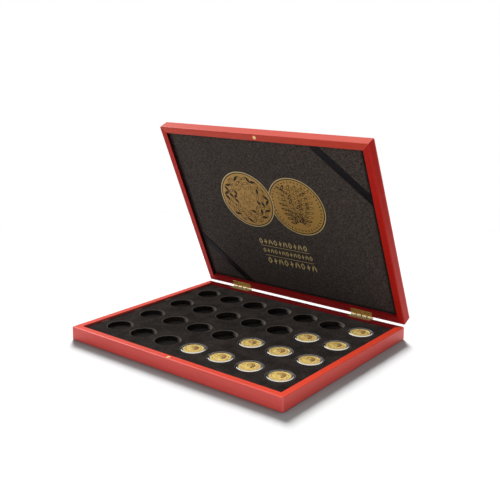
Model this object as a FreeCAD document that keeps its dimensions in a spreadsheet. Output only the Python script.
import FreeCAD, Part
import math
import os
import re

import Sketcher

# Lacquered presentation case for coins, standing open. X runs along the front, Y to the rear
# and Z up. The origin is the middle of the underside. All sizes are in millimetres.

driving = {
    # The case, closed
    "case_width": 305,
    "case_depth": 245,
    "base_height": 15.5,
    "lid_height": 14,
    "rim_gap": 0.5,
    "rail_width": 8.6,
    "panel_thickness": 3,
    "corner_radius": 1.5,
    "edge_radius": 1.2,
    "foot_radius": 1.2,
    "inner_edge_radius": 0.5,
    # How far the lid stands open, in degrees from closed
    "lid_angle": 66,
    # The tray and its wells
    "tray_recess": 2.5,
    "tray_clearance": 0.3,
    "well_columns": 7,
    "well_rows": 4,
    "well_side_margin": 11.2,
    "well_front_margin": 19.3,
    "well_depth": 5,
    "well_clearance": 1.05,
    "well_lip_radius": 0.8,
    # A coin in its capsule
    "coin_diameter": 23,
    "coin_thickness": 1.6,
    "coin_rim_width": 0.9,
    "coin_rim_height": 0.2,
    "coin_edge_bevel": 0.15,
    "coin_clearance": 0.15,
    "coin_headroom": 0.2,
    "capsule_rim_width": 2.25,
    "capsule_seat": 3.4,
    "capsule_window": 0.8,
    "capsule_edge_radius": 0.6,
    "capsule_fit": 0.1,
    # The lining of the lid and its corner ribbons
    "lining_recess": 3.5,
    "lining_clearance": 0.3,
    "lining_edge_radius": 1.5,
    "cloth_thickness": 0.5,
    "ribbon_width": 10,
    "ribbon_thickness": 0.35,
    "ribbon_leg": 68,
    # The two hinges
    "hinge_length": 30,
    "hinge_margin": 43.5,
    "knuckle_diameter": 3,
    "knuckle_offset": 1.4,
    "knuckle_gap": 0.25,
    "pin_diameter": 1.4,
    "pin_clearance": 0.1,
    "pin_bevel": 0.2,
    "leaf_reach": 7.6,
    "leaf_thickness": 0.8,
    "leaf_clearance": 0.2,
    # The screws of the hinges
    "screw_spacing": 18,
    "screw_diameter": 2,
    "screw_head_diameter": 3.4,
    "screw_length": 7,
    "point_length": 1.2,
    "screw_clearance": 0.1,
    "recess_length": 1.9,
    "recess_width": 0.5,
    "recess_depth": 0.4,
    # The magnets in the front rims
    "magnet_diameter": 4.8,
    "magnet_thickness": 2,
    "magnet_bevel": 0.3,
    "magnet_clearance": 0.2,
    "magnet_recess": 0.1,
}

derived = {
    "base_rail_height": "base_height - panel_thickness",
    "lid_rail_height": "lid_height - panel_thickness",
    "inner_width": "case_width - 2 * rail_width",
    "inner_depth": "case_depth - 2 * rail_width",
    "rim_middle": "rail_width / 2",
    "corner_bend": "corner_radius * (1 - sqrt(2) / 2)",
    "rim_radius": "min(edge_radius; 0.9 * corner_radius)",
    # The tray
    "tray_width": "inner_width - 2 * tray_clearance",
    "tray_depth": "inner_depth - 2 * tray_clearance",
    "backing_thickness": "base_rail_height - tray_recess - well_depth",
    "well_floor": "panel_thickness + backing_thickness",
    "capsule_diameter": "coin_diameter + 2 * capsule_rim_width",
    "capsule_height": "capsule_seat + coin_thickness + coin_headroom + capsule_window",
    "well_diameter": "capsule_diameter + 2 * well_clearance",
    "well_pitch_x": "(tray_width - 2 * well_side_margin - well_diameter) / (well_columns - 1)",
    "well_pitch_y": "(tray_depth - 2 * well_front_margin - well_diameter) / (well_rows - 1)",
    "first_well_x": "-well_pitch_x * (well_columns - 1) / 2",
    "first_well_y": "-well_pitch_y * (well_rows - 1) / 2",
    # Where the capsule's two shells meet
    "cavity_radius": "coin_diameter / 2 + coin_clearance",
    "shell_seam_radius": "(capsule_diameter / 2 + cavity_radius) / 2",
    "inner_wall_radius": "shell_seam_radius - capsule_fit / 2",
    "skirt_radius": "shell_seam_radius + capsule_fit / 2",
    "capsule_seam": "capsule_height / 2",
    "capsule_roof": "capsule_height - capsule_window",
    "coin_field_radius": "coin_diameter / 2 - coin_rim_width",
    # The lining
    "cloth_width": "inner_width - 2 * lining_clearance",
    "cloth_depth": "inner_depth - 2 * lining_clearance",
    "cloth_height": "lid_rail_height - lining_recess",
    "board_width": "cloth_width - 2 * cloth_thickness",
    "board_depth": "cloth_depth - 2 * cloth_thickness",
    "board_height": "cloth_height - cloth_thickness",
    "cloth_edge_radius": "lining_edge_radius + cloth_thickness",
    "ribbon_half": "ribbon_width / sqrt(2)",
    "ribbon_inset": "lining_clearance + cloth_edge_radius",
    # The hinges
    "hinge_spacing": "case_width - 2 * hinge_margin - hinge_length",
    "axis_offset": "case_depth / 2 + knuckle_offset",
    "axis_height": "rim_gap / 2",
    "knuckle_length": "(hinge_length - 3 * knuckle_gap) / 4",
    "knuckle_pitch": "knuckle_length + knuckle_gap",
    "leaf_stop": "knuckle_diameter / 2 + knuckle_gap",
    "screw_offset": "knuckle_offset + rim_middle",
    "head_depth": "(screw_head_diameter - screw_diameter) / 2",
}

document = FreeCAD.newDocument("coin_case")
sheet = document.addObject("Spreadsheet::Sheet", "sizes")
pieces = []
unturned = "rotation(vector(0; 0; 1); 0)"
# Two places nearer than this are the same place
hair = 1e-4


def fill_sheet():
    """Write every size into the sheet: its name in column A, its value in column B."""
    cells = {name: str(value) for name, value in driving.items()}
    cells.update({name: f"={formula}" for name, formula in derived.items()})
    for row, (name, content) in enumerate(cells.items(), start=1):
        sheet.set(f"A{row}", name)
        sheet.set(f"B{row}", content)
        sheet.setAlias(f"B{row}", name)
    document.recompute()


def named(expression):
    """Put the sheet's name before each size in an expression."""
    def full(word):
        return f"sizes.{word[0]}" if word[0] in driving or word[0] in derived else word[0]
    return re.sub(r"\b[a-z]\w*", full, expression)


def worth(expression):
    """Return the number that an expression of sizes stands for now."""
    return float(sheet.evalExpression(expression))


def spot(x, y, z, turn="0", frame="base_frame"):
    """Return a place in a frame, turned about Z, as an expression of sizes."""
    return f"{frame}.Placement * placement(vector({x}; {y}; {z}); rotation(vector(0; 0; 1); {turn}))"


def new_frame(name, place):
    """Add a coordinate system that pieces are placed in."""
    frame = document.addObject("App::LocalCoordinateSystem", name)
    frame.setExpression("Placement", named(place))


def new_body(label, place):
    """Add an empty piece at a place."""
    body = document.addObject("PartDesign::Body", label)
    body.Label = label
    body.setExpression("Placement", named(place))
    pieces.append(body)
    return body


def datum(body, role):
    """Return one of the body's own origin planes or axes."""
    return next(item for item in body.Origin.OriginFeatures if item.Role == role)


def new_sketch(body, plane, shift):
    """Add an empty sketch on one of the body's own planes, shifted within that plane's frame."""
    sketch = body.newObject("Sketcher::SketchObject", f"{body.Label}_sketch")
    sketch.AttachmentSupport = [(datum(body, plane), "")]
    sketch.MapMode = "FlatFace"
    if shift:
        x, y, z = shift
        sketch.setExpression("AttachmentOffset", named(f"placement(vector({x}; {y}; {z}); {unturned})"))
    return sketch


def bind(sketch, kind, references, expression):
    """Add a dimension to a sketch and tie it to the sizes."""
    number = sketch.addConstraint(Sketcher.Constraint(kind, *references, worth(expression)))
    sketch.setExpression(f"Constraints[{number}]", named(expression))


def arc_between(start, end, radius):
    """Return the short arc that runs anticlockwise from start to end."""
    chord = end - start
    middle = (start + end) / 2
    outwards = FreeCAD.Vector(chord.y, -chord.x, 0).normalize()
    rise = radius - math.sqrt(max(radius**2 - chord.Length**2 / 4, 0))
    return Part.Arc(start, middle + outwards * rise, end)


def draw_outline(body, plane, corners, shift=None):
    """Draw a closed outline, anticlockwise.

    A corner is x and y, and the radius of the arc that leads on to the next corner if there is one,
    with the word hollow after it where that arc bends into the outline.
    """
    sketch = new_sketch(body, plane, shift)
    points = [FreeCAD.Vector(worth(corner[0]), worth(corner[1]), 0) for corner in corners]
    hollow = ["hollow" in corner for corner in corners]
    for number, corner in enumerate(corners):
        start = points[number]
        end = points[(number + 1) % len(points)]
        if hollow[number]:
            sketch.addGeometry(arc_between(end, start, worth(corner[2])), False)
        elif len(corner) == 3:
            sketch.addGeometry(arc_between(start, end, worth(corner[2])), False)
        else:
            sketch.addGeometry(Part.LineSegment(start, end), False)
    # A hollow arc runs backwards, so its corner is its end 2 and not its end 1
    own_end = [2 if bends_in else 1 for bends_in in hollow]
    for number, corner in enumerate(corners):
        following = (number + 1) % len(corners)
        ends = (number, 3 - own_end[number], following, own_end[following])
        sketch.addConstraint(Sketcher.Constraint("Coincident", *ends))
        for kind, across, axis in (("DistanceX", corner[0], -2), ("DistanceY", corner[1], -1)):
            if across == "0":
                sketch.addConstraint(Sketcher.Constraint("PointOnObject", number, own_end[number], axis))
            else:
                bind(sketch, kind, (-1, 1, number, own_end[number]), across)
        if len(corner) > 2:
            bind(sketch, "Radius", (number,), corner[2])
    return sketch


def draw_circle(body, plane, diameter, centre=("0", "0"), shift=None):
    """Draw a circle, by default about the sketch's own origin."""
    sketch = new_sketch(body, plane, shift)
    middle = FreeCAD.Vector(worth(centre[0]), worth(centre[1]), 0)
    sketch.addGeometry(Part.Circle(middle, FreeCAD.Vector(0, 0, 1), worth(diameter) / 2), False)
    for kind, across, axis in (("DistanceX", centre[0], -2), ("DistanceY", centre[1], -1)):
        if across == "0":
            sketch.addConstraint(Sketcher.Constraint("PointOnObject", 0, 3, axis))
        else:
            bind(sketch, kind, (-1, 1, 0, 3), across)
    bind(sketch, "Diameter", (0,), diameter)
    return sketch


def rectangle(x, y, width, depth):
    """Return the corners of a rectangle about a middle point."""
    left = f"{x} - {width} / 2"
    right = f"{x} + {width} / 2"
    near = f"{y} - {depth} / 2"
    far = f"{y} + {depth} / 2"
    return [(left, near), (right, near), (right, far), (left, far)]


def add_feature(body, kind, sketch, **settings):
    """Add a feature that works on a sketch."""
    feature = body.newObject(f"PartDesign::{kind}", f"{body.Label}_{kind.lower()}")
    feature.Profile = sketch
    for name, value in settings.items():
        setattr(feature, name, value)
    sketch.Visibility = False
    return feature


def pad(body, sketch, length):
    """Raise a sketch along its normal."""
    feature = add_feature(body, "Pad", sketch)
    feature.setExpression("Length", named(length))
    return feature


def pocket(body, sketch, depth=None):
    """Cut a sketch into the body against its normal, right through if no depth is given."""
    feature = add_feature(body, "Pocket", sketch, Type="Length" if depth else "ThroughAll")
    if depth:
        feature.setExpression("Length", named(depth))
    return feature


def revolve(body, sketch, kind="Revolution"):
    """Turn a sketch a full turn about its own vertical axis, or cut that shape with a Groove."""
    return add_feature(body, kind, sketch, ReferenceAxis=(sketch, ["V_Axis"]), Angle=360)


def repeat(body, features, *runs):
    """Repeat features along one or two axes; a run is the axis, the step and the count."""
    pattern = body.newObject("PartDesign::MultiTransform", f"{body.Label}_pattern")
    pattern.Originals = features
    steps = []
    for axis, step, count in runs:
        line = body.newObject("PartDesign::LinearPattern", f"{body.Label}_{axis.lower()}")
        line.Direction = (datum(body, axis), [""])
        line.Mode = "Spacing"
        line.setExpression("Offset", named(step))
        line.setExpression("Occurrences", named(count))
        steps.append(line)
    pattern.Transformations = steps
    body.Tip = pattern
    return pattern


def round_edges(body, radius, wanted):
    """Round the edges of the body so far whose box the test accepts."""
    document.recompute()
    solid = body.Tip
    numbered = enumerate(solid.Shape.Edges, start=1)
    edges = [f"Edge{number}" for number, edge in numbered if wanted(edge.BoundBox)]
    feature = body.newObject("PartDesign::Fillet", f"{body.Label}_fillet")
    feature.Base = (solid, edges)
    feature.setExpression("Radius", named(radius))
    return feature


def level(box, height):
    """Tell whether an edge's box lies flat at a height."""
    return abs(box.ZMin - height) < hair and abs(box.ZMax - height) < hair


def rounded_rectangle(width, depth, radius):
    """Return the corners of a rectangle about the origin with rounded corners."""
    across = f"{width} / 2"
    along = f"{depth} / 2"
    return [
        (f"-{across} + {radius}", f"-{along}"),
        (f"{across} - {radius}", f"-{along}", radius),
        (across, f"-{along} + {radius}"),
        (across, f"{along} - {radius}", radius),
        (f"{across} - {radius}", along),
        (f"-{across} + {radius}", along, radius),
        (f"-{across}", f"{along} - {radius}"),
        (f"-{across}", f"-{along} + {radius}", radius),
    ]


def make_panel(label, place, radius):
    """Full-size panel: z rises from its outer face, whose edge is rounded, to the rails."""
    body = new_body(label, place)
    outline = rounded_rectangle("case_width", "case_depth", "corner_radius")
    pad(body, draw_outline(body, "XY_Plane", outline), "panel_thickness")
    round_edges(body, radius, lambda box: level(box, 0))


def make_rail(label, place, length, height):
    """Mitred rail: x along it, y inwards from its outer face, z from the panel to the rim."""
    body = new_body(label, place)
    half = f"{length} / 2"
    outline = [
        (f"-{half} + corner_radius", "0"),
        (f"{half} - corner_radius", "0", "corner_radius"),
        (f"{half} - corner_bend", "corner_bend"),
        (f"{half} - rail_width", "rail_width"),
        (f"-{half} + rail_width", "rail_width"),
        (f"-{half} + corner_bend", "corner_bend", "corner_radius"),
    ]
    pad(body, draw_outline(body, "XY_Plane", outline), height)
    rim = worth(height)
    bend = worth("corner_bend")
    inside = worth("rail_width")
    round_edges(body, "rim_radius", lambda box: level(box, rim) and box.YMax < bend + hair)
    round_edges(body, "inner_edge_radius", lambda box: level(box, rim) and box.YMin > inside - hair)
    return body


def bore_magnet_seat(body, height):
    """Bore the blind hole for the magnet in the middle of a front rail's rim."""
    hole = draw_circle(body, "XY_Plane", "magnet_diameter + 2 * magnet_clearance", ("0", "rim_middle"),
                       ("0", "0", height))
    pocket(body, hole, "magnet_thickness + magnet_recess")


def cut_hinge_seats(body, height):
    """Cut the two leaf mortises in a rear rail's rim, then the pilot holes of the screws."""
    rim = ("0", "0", height)
    reach = "(leaf_reach + leaf_clearance)"
    seat = rectangle("-hinge_spacing / 2", f"{reach} / 2", "(hinge_length + 2 * leaf_clearance)", reach)
    mortise = pocket(body, draw_outline(body, "XY_Plane", seat, rim), "leaf_thickness")
    repeat(body, [mortise], ("X_Axis", "hinge_spacing", "2"))
    first = ("-hinge_spacing / 2 - screw_spacing / 2", "rim_middle")
    pilot = pocket(body, draw_circle(body, "XY_Plane", "screw_diameter", first, rim), "screw_length")
    repeat(body, [pilot], ("X_Axis", "screw_spacing", "2"), ("X_Axis", "hinge_spacing", "2"))


def make_rails(half, front):
    """Four rails of the base or the lid; front is -1 where the front lies at -Y in its frame, else 1."""
    frame = f"{half}_frame"
    height = f"{half}_rail_height"
    front_turn = "0" if front < 0 else "180"
    rear_turn = "180" if front < 0 else "0"
    across = "case_width / 2"
    along = "case_depth / 2"
    front_place = spot("0", f"{front} * {along}", "panel_thickness", front_turn, frame)
    rear_place = spot("0", f"{-front} * {along}", "panel_thickness", rear_turn, frame)
    left_place = spot(f"-{across}", "0", "panel_thickness", "-90", frame)
    right_place = spot(across, "0", "panel_thickness", "90", frame)
    front_rail = make_rail(f"{half}_front_rail", front_place, "case_width", height)
    rear_rail = make_rail(f"{half}_rear_rail", rear_place, "case_width", height)
    make_rail(f"{half}_left_rail", left_place, "case_depth", height)
    make_rail(f"{half}_right_rail", right_place, "case_depth", height)
    bore_magnet_seat(front_rail, height)
    cut_hinge_seats(rear_rail, height)


def make_magnet(half, front):
    """Magnet disc in its hole, its chamfered face just under the rim."""
    seat = f"{half}_height - magnet_recess - magnet_thickness"
    along = f"{front} * (case_depth / 2 - rim_middle)"
    body = new_body(f"{half}_magnet", spot("0", along, seat, frame=f"{half}_frame"))
    radius = "magnet_diameter / 2"
    profile = [
        ("0", "0"),
        (radius, "0"),
        (radius, "magnet_thickness - magnet_bevel"),
        (f"{radius} - magnet_bevel", "magnet_thickness"),
        ("0", "magnet_thickness"),
    ]
    revolve(body, draw_outline(body, "XZ_Plane", profile))


def make_tray():
    """Backing board and, on it, the well board with its rounded well mouths."""
    plan = rectangle("0", "0", "tray_width", "tray_depth")
    backing = new_body("tray_backing_board", spot("0", "0", "panel_thickness"))
    pad(backing, draw_outline(backing, "XY_Plane", plan), "backing_thickness")
    board = new_body("tray_well_board", spot("0", "0", "well_floor"))
    pad(board, draw_outline(board, "XY_Plane", plan), "well_depth")
    radius = "well_diameter / 2"
    profile = [
        ("0", "0"),
        (radius, "0"),
        (radius, "well_depth - well_lip_radius", "well_lip_radius", "hollow"),
        (f"{radius} + well_lip_radius", "well_depth"),
        ("0", "well_depth"),
    ]
    mouth = draw_outline(board, "XZ_Plane", profile, ("first_well_x", "0", "-first_well_y"))
    well = revolve(board, mouth, "Groove")
    repeat(board, [well], ("X_Axis", "well_pitch_x", "well_columns"), ("Y_Axis", "well_pitch_y", "well_rows"))


def make_capsule(number, column, row):
    """Coin in a clear capsule of two shells, standing in the well of a column and a row."""
    x = f"first_well_x + {column} * well_pitch_x"
    y = f"first_well_y + {row} * well_pitch_y"
    name = f"capsule_{number:02d}"
    radius = "capsule_diameter / 2"

    base = new_body(f"{name}_base", spot(x, y, "well_floor"))
    profile = [
        ("0", "0"),
        (f"{radius} - capsule_edge_radius", "0", "capsule_edge_radius"),
        (radius, "capsule_edge_radius"),
        (radius, "capsule_seam"),
        ("inner_wall_radius", "capsule_seam"),
        ("inner_wall_radius", "capsule_roof - capsule_fit"),
        ("cavity_radius", "capsule_roof - capsule_fit"),
        ("cavity_radius", "capsule_seat"),
        ("0", "capsule_seat"),
    ]
    revolve(base, draw_outline(base, "XZ_Plane", profile))

    cover = new_body(f"{name}_cover", spot(x, y, "well_floor"))
    profile = [
        ("0", "capsule_roof"),
        ("skirt_radius", "capsule_roof"),
        ("skirt_radius", "capsule_seam"),
        (radius, "capsule_seam"),
        (radius, "capsule_height - capsule_edge_radius", "capsule_edge_radius"),
        (f"{radius} - capsule_edge_radius", "capsule_height"),
        ("0", "capsule_height"),
    ]
    revolve(cover, draw_outline(cover, "XZ_Plane", profile))

    coin = new_body(f"coin_{number:02d}", spot(x, y, "well_floor + capsule_seat"))
    outside = "coin_diameter / 2"
    profile = [
        ("0", "coin_rim_height"),
        ("coin_field_radius - coin_rim_height", "coin_rim_height"),
        ("coin_field_radius", "0"),
        (f"{outside} - coin_edge_bevel", "0"),
        (outside, "coin_edge_bevel"),
        (outside, "coin_thickness - coin_edge_bevel"),
        (f"{outside} - coin_edge_bevel", "coin_thickness"),
        ("coin_field_radius", "coin_thickness"),
        ("coin_field_radius - coin_rim_height", "coin_thickness - coin_rim_height"),
        ("0", "coin_thickness - coin_rim_height"),
    ]
    revolve(coin, draw_outline(coin, "XZ_Plane", profile))


def make_lining():
    """Board in the lid, and the cloth that is drawn over its face and sides."""
    place = spot("0", "0", "panel_thickness", frame="lid_frame")
    plan = rectangle("0", "0", "board_width", "board_depth")
    board = new_body("lid_lining_board", place)
    pad(board, draw_outline(board, "XY_Plane", plan), "board_height")
    face = worth("board_height")
    round_edges(board, "lining_edge_radius", lambda box: level(box, face))

    block = new_body("lid_lining_block", place)
    pieces.remove(block)
    block_plan = rectangle("0", "0", "cloth_width", "cloth_depth")
    pad(block, draw_outline(block, "XY_Plane", block_plan), "cloth_height")
    top = worth("cloth_height")
    round_edges(block, "cloth_edge_radius", lambda box: level(box, top))
    cloth = document.addObject("Part::Cut", "lid_lining_cloth")
    cloth.Base = block
    cloth.Tool = board
    pieces.append(cloth)


def make_ribbon(label, turn):
    """Ribbon on the lining across the corner at +X and +Y of the lid, or the opposite one."""
    body = new_body(label, spot("0", "0", "panel_thickness + cloth_height", turn, "lid_frame"))
    right = "inner_width / 2"
    front = "inner_depth / 2"
    short = "(ribbon_leg - ribbon_half - ribbon_inset)"
    long = "(ribbon_leg + ribbon_half - ribbon_inset)"
    outline = [
        (f"{right} - {short}", f"{front} - ribbon_inset"),
        (f"{right} - {long}", f"{front} - ribbon_inset"),
        (f"{right} - ribbon_inset", f"{front} - {long}"),
        (f"{right} - ribbon_inset", f"{front} - {short}"),
    ]
    pad(body, draw_outline(body, "XY_Plane", outline), "ribbon_thickness")


def make_leaf(label, place, bore):
    """Hinge leaf with two knuckles: x along the pin, y = 0 at the pin, the plate towards -Y."""
    body = new_body(label, place)
    end = "hinge_length / 2"
    reach = "-(knuckle_offset + leaf_reach)"
    first = f"-{end} + knuckle_length"
    second = f"-{end} + 2 * knuckle_pitch"
    outline = [
        (f"-{end}", reach),
        (end, reach),
        (end, "-leaf_stop"),
        (f"{second} + knuckle_length", "-leaf_stop"),
        (f"{second} + knuckle_length", "0"),
        (second, "0"),
        (second, "-leaf_stop"),
        (first, "-leaf_stop"),
        (first, "0"),
        (f"-{end}", "0"),
    ]
    plate = draw_outline(body, "XY_Plane", outline, ("0", "0", "-axis_height - leaf_thickness"))
    pad(body, plate, "leaf_thickness")
    barrel = draw_circle(body, "YZ_Plane", "knuckle_diameter", shift=("0", "0", f"-{end}"))
    knuckle = pad(body, barrel, "knuckle_length")
    repeat(body, [knuckle], ("X_Axis", "2 * knuckle_pitch", "2"))
    pocket(body, draw_circle(body, "YZ_Plane", bore, shift=("0", "0", end)))
    # Countersunk hole: the screw's head bears on its cone, and its shank passes with clearance
    head = "screw_head_diameter / 2"
    shank = "screw_diameter / 2 + screw_clearance"
    profile = [
        ("0", "-leaf_thickness"),
        (shank, "-leaf_thickness"),
        (shank, "-head_depth + screw_clearance"),
        (head, "0"),
        ("0", "0"),
    ]
    where = ("-screw_spacing / 2", "-axis_height", "screw_offset")
    hole = revolve(body, draw_outline(body, "XZ_Plane", profile, where), "Groove")
    repeat(body, [hole], ("X_Axis", "screw_spacing", "2"))


def make_pin(label, place):
    """Hinge pin along X, with bevelled ends."""
    body = new_body(label, place)
    radius = "pin_diameter / 2"
    profile = [
        ("0", "-hinge_length / 2"),
        (f"{radius} - pin_bevel", "-hinge_length / 2"),
        (radius, "-hinge_length / 2 + pin_bevel"),
        (radius, "hinge_length / 2 - pin_bevel"),
        (f"{radius} - pin_bevel", "hinge_length / 2"),
        ("0", "hinge_length / 2"),
    ]
    sketch = draw_outline(body, "XY_Plane", [(along, f"-({across})") for across, along in profile])
    add_feature(body, "Revolution", sketch, ReferenceAxis=(sketch, ["H_Axis"]), Angle=360)


def make_screws(half, front):
    """Four countersunk wood screws, two to a hinge, with crossed recesses."""
    frame = f"{half}_frame"
    along = f"{-front} * (case_depth / 2 - rim_middle)"
    place = spot("-hinge_spacing / 2 - screw_spacing / 2", along, f"{half}_height", frame=frame)
    body = new_body(f"{half}_hinge_screws", place)
    body.AllowCompound = True
    shank = "screw_diameter / 2"
    profile = [
        ("0", "-screw_length"),
        (shank, "-screw_length + point_length"),
        (shank, "-head_depth"),
        ("screw_head_diameter / 2", "0"),
        ("0", "0"),
    ]
    screw = revolve(body, draw_outline(body, "XZ_Plane", profile))
    arm = "recess_length / 2"
    side = "recess_width / 2"
    quarter = [(arm, f"-{side}"), (arm, side), (side, side)]
    cross = []
    for turn in range(4):
        cross.extend(quarter)
        quarter = [(f"-({y})", x) for x, y in quarter]
    recess = pocket(body, draw_outline(body, "XY_Plane", cross), "recess_depth")
    repeat(body, [screw, recess], ("X_Axis", "screw_spacing", "2"), ("X_Axis", "hinge_spacing", "2"))


def make_hinges():
    """Two butt hinges: a leaf on each rim, the same part turned over, and a pin fast in the base's leaf."""
    for side, across in (("left", "-hinge_spacing / 2"), ("right", "hinge_spacing / 2")):
        base_place = spot(across, "axis_offset", "base_height + axis_height")
        lid_place = spot(across, "-axis_offset", "lid_height + axis_height", "180", "lid_frame")
        make_leaf(f"hinge_{side}_base_leaf", base_place, "pin_diameter")
        make_leaf(f"hinge_{side}_lid_leaf", lid_place, "pin_diameter + 2 * pin_clearance")
        make_pin(f"hinge_{side}_pin", base_place)


def write_pieces():
    """Check every object and write each piece to its own file."""
    document.recompute()
    for item in document.Objects:
        if "Invalid" in item.State or "Error" in item.State:
            raise RuntimeError(f"{item.Label} failed: {item.State}")
    for body in pieces:
        if body.Shape.isNull() or not body.Shape.isValid() or not body.Shape.Solids:
            raise RuntimeError(f"{body.Label} has no valid solid")
    os.makedirs("parts", exist_ok=True)
    for body in pieces:
        body.Shape.exportStep(f"parts/{body.Label}.step")
        print(f"{body.Label}: {len(body.Shape.Solids)} solid, {body.Shape.Volume:.1f} mm3")


fill_sheet()
new_frame("base_frame", f"placement(vector(0; 0; 0); {unturned})")
# The lid's frame looks into the open lid: origin in the middle of its outer face, X as the
# case's, Y from the hinges to the lid's front edge, Z from the outer face to the rim
new_frame("lid_frame", "placement(vector(0; axis_offset; base_height + axis_height); "
          "rotation(vector(1; 0; 0); -lid_angle)) * "
          "placement(vector(0; -axis_offset; lid_height + axis_height); rotation(vector(1; 0; 0); 180))")

make_panel("base_bottom_panel", spot("0", "0", "0"), "foot_radius")
make_panel("lid_top_panel", spot("0", "0", "0", frame="lid_frame"), "rim_radius")
for half, front in (("base", -1), ("lid", 1)):
    make_rails(half, front)
    make_magnet(half, front)
    make_screws(half, front)
make_hinges()
make_tray()
make_lining()
make_ribbon("lid_ribbon_front_right", "0")
make_ribbon("lid_ribbon_rear_left", "180")

# The filled wells: four in the front row, one fewer in each row behind, all at the right end
capsules = 0
filled_in_front_row = 4
for row in range(int(worth("well_rows"))):
    for place in range(filled_in_front_row - row):
        capsules += 1
        make_capsule(capsules, f"(well_columns - {1 + place})", row)

write_pieces()
